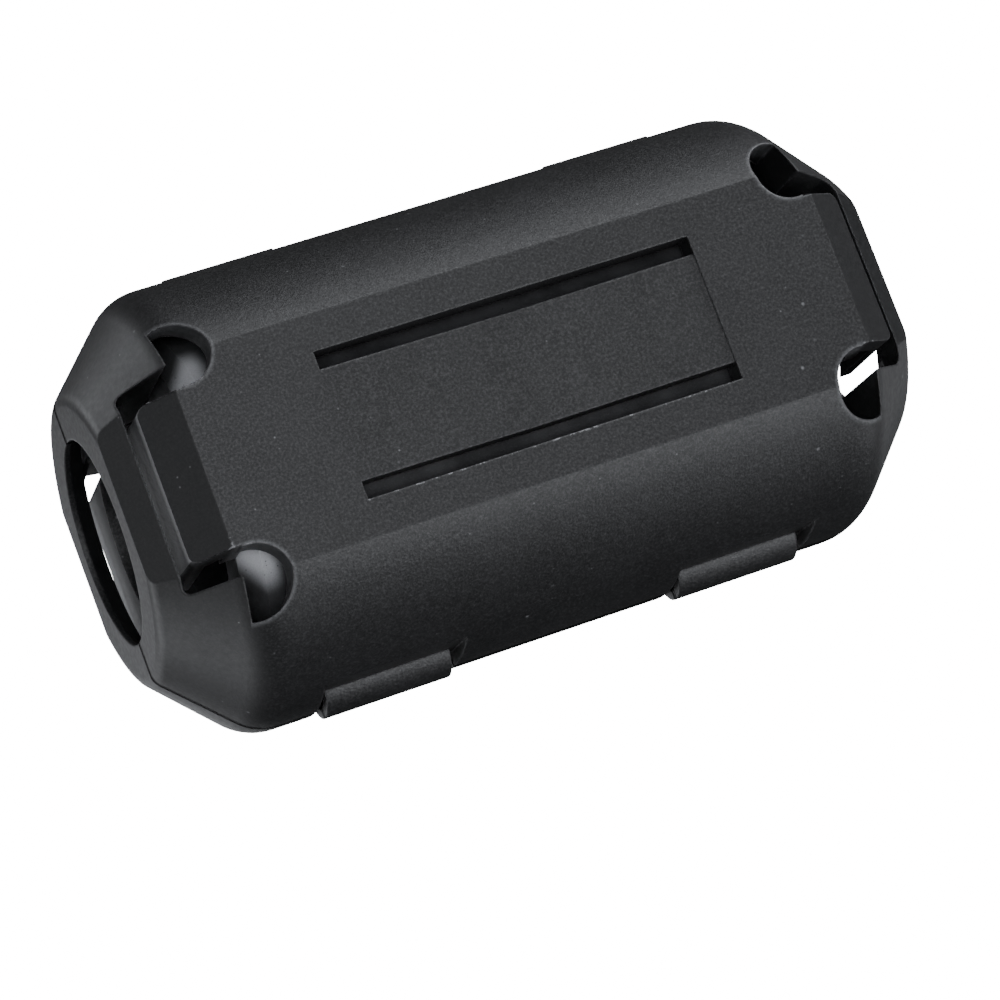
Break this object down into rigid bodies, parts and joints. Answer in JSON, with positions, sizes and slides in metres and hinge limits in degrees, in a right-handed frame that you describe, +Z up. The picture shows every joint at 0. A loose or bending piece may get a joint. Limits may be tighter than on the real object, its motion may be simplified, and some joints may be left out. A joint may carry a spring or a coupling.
{
  "type": "clip-on ferrite bead",
  "caption": "Hinged plastic case with a split ferrite core that is clipped shut round a cable to damp radio noise, with latch tabs opposite the hinge.",
  "frame": {"origin": "middle of the cable hole, half way along the case, with the case closed", "axes": "+X along the cable, +Y from the hinge straps to the latches, +Z up out of the upper shell's flat face"},
  "size_m": [0.0348, 0.0197, 0.0178],
  "materials": {
    "black_nylon": "fine spark-eroded grain, matte",
    "ferrite": "sintered, ground on the parting face"
  },
  "bodies": {
    "lower_half": {"lower_shell": "black_nylon", "lower_core": "ferrite"},
    "upper_half": {"upper_shell": "black_nylon", "upper_core": "ferrite"}
  },
  "joints": [
    {"name": "strap_hinge", "type": "hinge", "parent": "lower_half", "child": "upper_half", "pos_m": [0, -0.01, 0], "axis": [1, 0, 0], "range_deg": [0, 180]}
  ]
}
